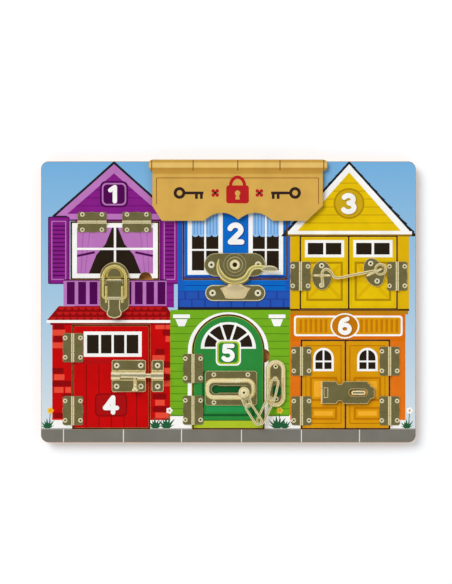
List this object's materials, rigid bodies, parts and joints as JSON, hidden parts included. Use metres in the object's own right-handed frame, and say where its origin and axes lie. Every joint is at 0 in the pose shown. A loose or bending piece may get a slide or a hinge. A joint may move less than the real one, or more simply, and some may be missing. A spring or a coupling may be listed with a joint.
{
  "type": "wooden latch board",
  "caption": "Flat wooden activity board: numbered window flaps and doors on butt hinges, each held shut by a different small metal latch.",
  "frame": {"origin": "centre of the board's flat back face", "axes": "+X to the right along the board's length, +Y up the front, +Z out of the front, so the board lies on its back"},
  "size_m": [0.4, 0.3016, 0.0221],
  "materials": {
    "brass": "plated, polished",
    "painted_board": "printed and varnished",
    "bare_wood": "sanded",
    "purple_paint": "printed and varnished",
    "blue_paint": "printed and varnished",
    "yellow_paint": "printed and varnished",
    "red_paint": "printed and varnished",
    "green_paint": "printed and varnished",
    "orange_paint": "printed and varnished",
    "card": "printed card"
  },
  "bodies": {
    "board": {"back_board": "bare_wood", "front_board": "painted_board", "window_1_hinge_left_frame_leaf": "brass", "window_1_hinge_right_frame_leaf": "brass", "window_2_hinge_left_frame_leaf": "brass", "window_2_hinge_right_frame_leaf": "brass", "door_3_hinge_left_frame_leaf": "brass", "door_3_hinge_right_frame_leaf": "brass", "door_4_hinge_top_frame_leaf": "brass", "door_4_hinge_bottom_frame_leaf": "brass", "door_5_hinge_top_frame_leaf": "brass", "door_5_hinge_bottom_frame_leaf": "brass", "door_6_hinge_left_top_frame_leaf": "brass", "door_6_hinge_left_bottom_frame_leaf": "brass", "door_6_hinge_right_top_frame_leaf": "brass", "door_6_hinge_right_bottom_frame_leaf": "brass", "draw_latch_base": "brass", "sash_keeper": "brass", "bolt_keeper": "brass", "chain_anchor": "brass"},
    "window_1": {"window_1_flap": "purple_paint", "draw_catch_plate": "brass", "window_1_hinge_left_door_leaf": "brass", "window_1_hinge_right_door_leaf": "brass"},
    "window_2": {"window_2_flap": "blue_paint", "sash_lock_plate": "brass", "window_2_hinge_left_door_leaf": "brass", "window_2_hinge_right_door_leaf": "brass"},
    "left_door_3": {"door_3_left": "yellow_paint", "hook_eye_left": "brass", "door_3_hinge_left_door_leaf": "brass"},
    "right_door_3": {"door_3_right": "yellow_paint", "hook_eye_right": "brass", "door_3_hinge_right_door_leaf": "brass"},
    "red_door": {"door_4": "red_paint", "bolt_guide": "brass", "door_4_hinge_top_door_leaf": "brass", "door_4_hinge_bottom_door_leaf": "brass"},
    "arched_door": {"door_5": "green_paint", "chain_track": "brass", "door_5_hinge_top_door_leaf": "brass", "door_5_hinge_bottom_door_leaf": "brass"},
    "left_door_6": {"door_6_left": "orange_paint", "hasp_base": "brass", "door_6_hinge_left_top_door_leaf": "brass", "door_6_hinge_left_bottom_door_leaf": "brass"},
    "right_door_6": {"door_6_right": "orange_paint", "door_6_hinge_right_top_door_leaf": "brass", "door_6_hinge_right_bottom_door_leaf": "brass"},
    "draw_lever": {"draw_latch_lever": "brass"},
    "draw_loop": {"draw_latch_loop": "brass"},
    "sash_lever": {"sash_lock_lever": "brass"},
    "door_hook": {"hook": "brass"},
    "bolt": {"slide_bolt": "brass"},
    "slider": {"chain_slider": "brass"},
    "first_link": {"chain_link_1": "brass"},
    "second_link": {"chain_link_2": "brass"},
    "strap": {"hasp_strap": "brass"},
    "staple": {"hasp_staple": "brass"},
    "card": {"header_card": "card"}
  },
  "joints": [
    {"name": "window_1_opens", "type": "hinge", "parent": "board", "child": "window_1", "pos_m": [-0.1215, 0.0851, 0.0126], "axis": [-1, 0, 0], "range_deg": [0, 170]},
    {"name": "window_2_opens", "type": "hinge", "parent": "board", "child": "window_2", "pos_m": [0.00735, 0.106, 0.0126], "axis": [-1, 0, 0], "range_deg": [0, 150]},
    {"name": "left_door_3_opens", "type": "hinge", "parent": "board", "child": "left_door_3", "pos_m": [0.0769, 0.0313, 0.0126], "axis": [0, -1, 0], "range_deg": [0, 145]},
    {"name": "right_door_3_opens", "type": "hinge", "parent": "board", "child": "right_door_3", "pos_m": [0.1801, 0.0313, 0.0126], "axis": [0, 1, 0], "range_deg": [0, 145]},
    {"name": "red_door_opens", "type": "hinge", "parent": "board", "child": "red_door", "pos_m": [-0.1659, -0.0824, 0.0126], "axis": [0, -1, 0], "range_deg": [0, 170]},
    {"name": "arched_door_opens", "type": "hinge", "parent": "board", "child": "arched_door", "pos_m": [-0.0377, -0.0932, 0.0126], "axis": [0, -1, 0], "range_deg": [0, 160]},
    {"name": "left_door_6_opens", "type": "hinge", "parent": "board", "child": "left_door_6", "pos_m": [0.078, -0.08965, 0.0126], "axis": [0, -1, 0], "range_deg": [0, 110]},
    {"name": "right_door_6_opens", "type": "hinge", "parent": "board", "child": "right_door_6", "pos_m": [0.172, -0.08965, 0.0126], "axis": [0, 1, 0], "range_deg": [0, 110]},
    {"name": "draw_lever_lifts", "type": "hinge", "parent": "board", "child": "draw_lever", "pos_m": [-0.1214, 0.023, 0.0156], "axis": [-1, 0, 0], "range_deg": [0, 150]},
    {"name": "draw_loop_swings", "type": "hinge", "parent": "draw_lever", "child": "draw_loop", "pos_m": [-0.1214, 0.004, 0.0154], "axis": [-1, 0, 0], "range_deg": [-150, 0]},
    {"name": "sash_lever_turns", "type": "hinge", "parent": "window_2", "child": "sash_lever", "pos_m": [0.0069, 0.0396, 0.0126], "axis": [0, 0, 1], "range_deg": [0, 175]},
    {"name": "hook_lifts_out", "type": "hinge", "parent": "right_door_3", "child": "door_hook", "pos_m": [0.1622, 0.0348, 0.0149], "axis": [0, 0, -1], "range_deg": [0, 75]},
    {"name": "bolt_slides", "type": "slide", "parent": "red_door", "child": "bolt", "axis": [-1, 0, 0], "range_m": [0, 0.0125]},
    {"name": "chain_slider_slides", "type": "slide", "parent": "board", "child": "slider", "axis": [-1, 0, 0], "range_m": [0, 0.0297]},
    {"name": "first_link_swings", "type": "hinge", "parent": "board", "child": "first_link", "pos_m": [0.0454, -0.103, 0.0166], "axis": [0, 0, 1], "range_deg": [-60, 0]},
    {"name": "second_link_swings", "type": "hinge", "parent": "first_link", "child": "second_link", "pos_m": [0.033, -0.1286, 0.019], "axis": [0, 0, 1], "range_deg": [0, 125]},
    {"name": "strap_lifts", "type": "hinge", "parent": "left_door_6", "child": "strap", "pos_m": [0.1001, -0.0966, 0.0126], "axis": [0, -1, 0], "range_deg": [0, 85]},
    {"name": "staple_turns", "type": "hinge", "parent": "right_door_6", "child": "staple", "pos_m": [0.1383, -0.0966, 0.011], "axis": [0, 0, 1], "range_deg": [0, 90]},
    {"name": "card_flips", "type": "hinge", "parent": "board", "child": "card", "pos_m": [0.0098, 0.1516, 0.0113], "axis": [-1, 0, 0], "range_deg": [0, 150]}
  ],
  "couplings": [
    {"joint": "right_door_3_opens", "follows": "left_door_3_opens", "ratio": 1},
    {"joint": "right_door_6_opens", "follows": "left_door_6_opens", "ratio": 1},
    {"joint": "draw_loop_swings", "follows": "draw_lever_lifts", "ratio": -1},
    {"joint": "first_link_swings", "follows": "chain_slider_slides", "rad_per_m": -33.26},
    {"joint": "second_link_swings", "follows": "chain_slider_slides", "rad_per_m": 71.17},
    {"joint": "card_flips", "follows": "window_2_opens", "ratio": 1}
  ]
}
